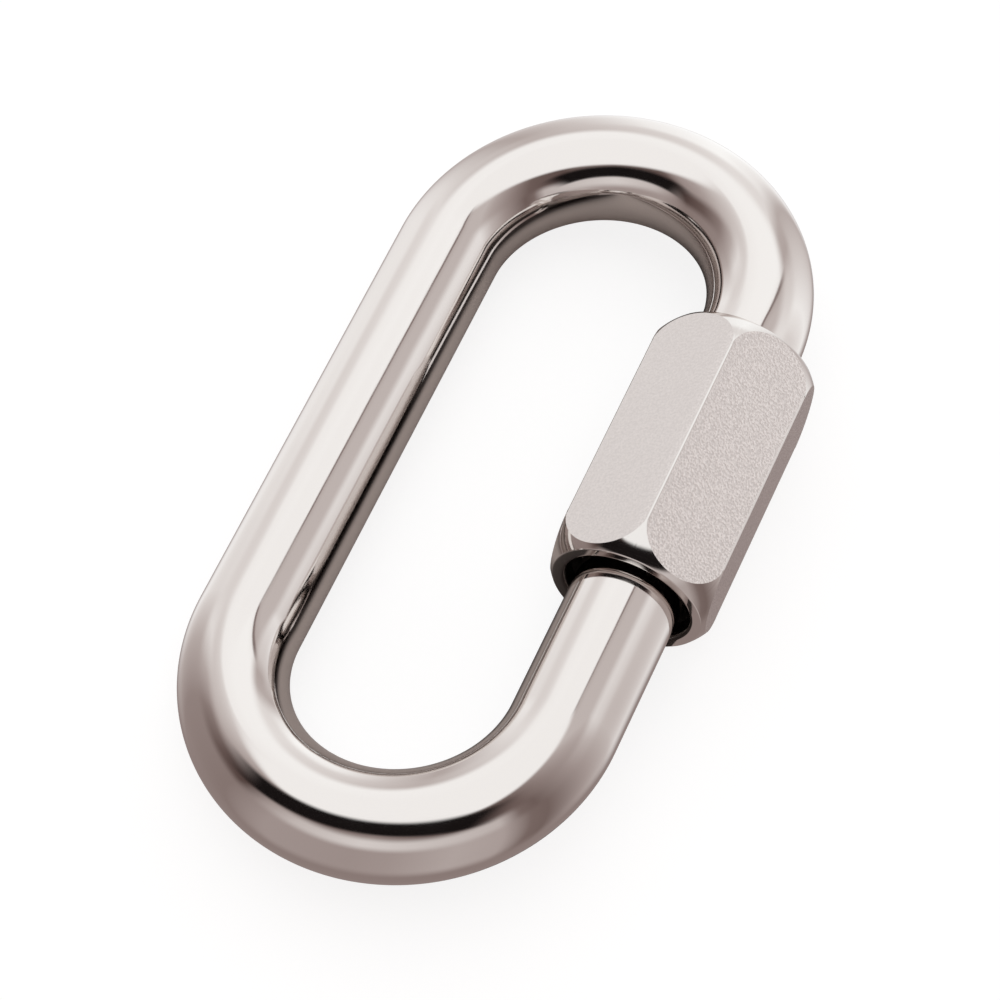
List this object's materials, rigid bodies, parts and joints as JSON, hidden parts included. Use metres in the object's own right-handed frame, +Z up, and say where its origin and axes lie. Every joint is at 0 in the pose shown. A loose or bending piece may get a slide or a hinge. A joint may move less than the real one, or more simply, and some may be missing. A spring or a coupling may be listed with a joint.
{
  "type": "chain quick link",
  "caption": "Oval chain quick link of round polished bar with a threaded gate in the limb, closed by a hexagonal sleeve nut that screws along it.",
  "frame": {"origin": "centre of the bottom of the bounding box, on the surface that the link lies on", "axes": "+Z up, +Y along the limbs towards the end that the nut closes on, +X towards the limb with the nut"},
  "size_m": [0.0428, 0.0846, 0.0173],
  "materials": {
    "polished_steel": "polished stainless steel",
    "satin_steel": "bead-blasted flats, turned and polished ends"
  },
  "bodies": {
    "link": {"link_body": "polished_steel"},
    "nut": {"sleeve_nut": "satin_steel"}
  },
  "joints": [
    {"name": "nut_travel", "type": "slide", "parent": "link", "child": "nut", "axis": [0, -1, 0], "range_m": [0, 0.017]}
  ]
}
